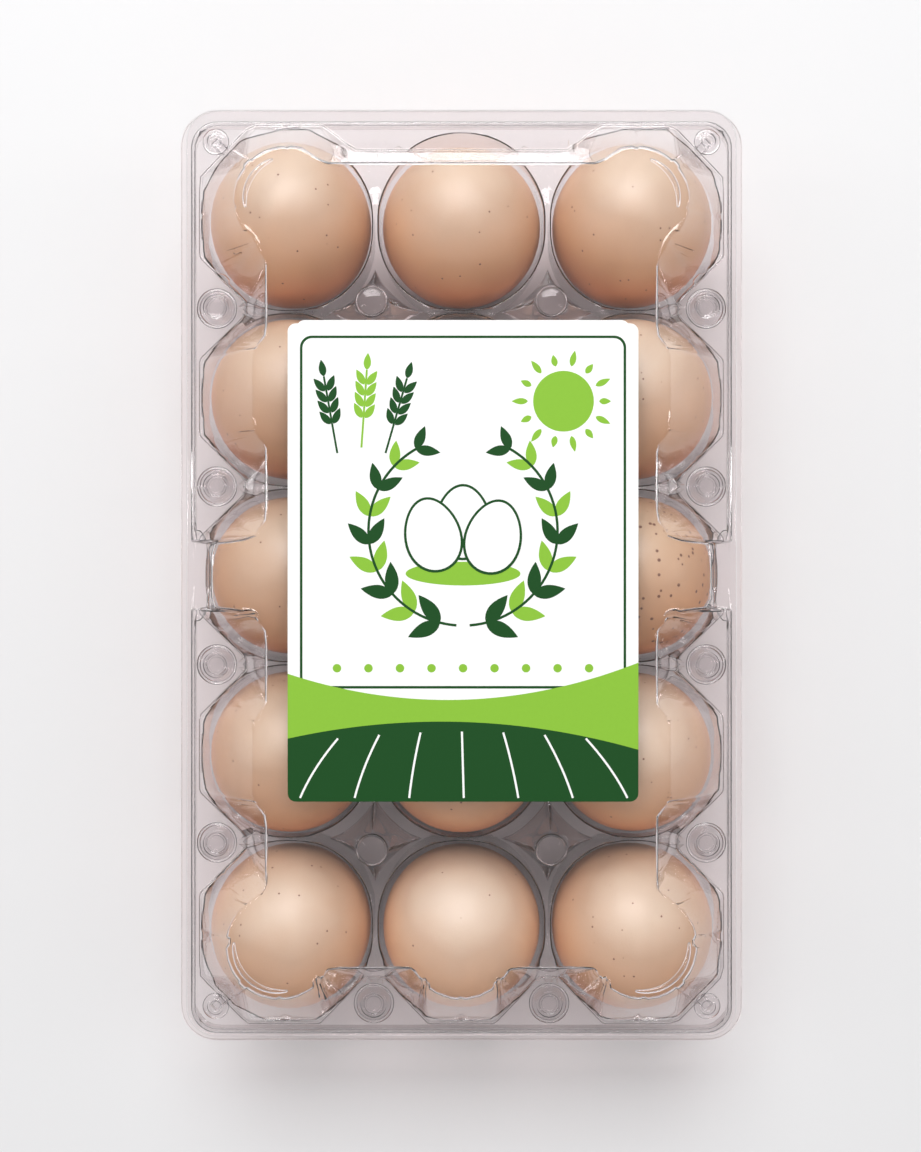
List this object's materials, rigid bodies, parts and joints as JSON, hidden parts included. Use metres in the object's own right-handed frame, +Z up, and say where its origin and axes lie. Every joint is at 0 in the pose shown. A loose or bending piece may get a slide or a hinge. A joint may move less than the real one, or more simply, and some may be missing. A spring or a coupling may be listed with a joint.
{
  "type": "egg carton with eggs",
  "caption": "Clear formed plastic carton of brown eggs, with a hinged domed lid that nests on the tray's rim and a paper label on its flat top.",
  "frame": {"origin": "centre of the footprint, on the surface that the cups stand on", "axes": "+Z up, +Y towards the hinge along the carton's length, +X across it"},
  "size_m": [0.1602, 0.2652, 0.0647],
  "materials": {
    "clear_tray": "clear, glossy",
    "clear_lid": "clear, glossy",
    "label_paper": "coated paper",
    "eggshell": "matte shell with a slight sheen"
  },
  "bodies": {
    "tray": {"tray": "clear_tray", "egg_r1_c1": "eggshell", "egg_r1_c2": "eggshell", "egg_r1_c3": "eggshell", "egg_r2_c1": "eggshell", "egg_r2_c2": "eggshell", "egg_r2_c3": "eggshell", "egg_r3_c1": "eggshell", "egg_r3_c2": "eggshell", "egg_r3_c3": "eggshell", "egg_r4_c1": "eggshell", "egg_r4_c2": "eggshell", "egg_r4_c3": "eggshell", "egg_r5_c1": "eggshell", "egg_r5_c2": "eggshell", "egg_r5_c3": "eggshell"},
    "lid": {"lid": "clear_lid", "label": "label_paper"}
  },
  "joints": [
    {"name": "lid_hinge", "type": "hinge", "parent": "tray", "child": "lid", "pos_m": [0, 0.1329, 0.03955], "axis": [-1, 0, 0], "range_deg": [0, 180]}
  ]
}
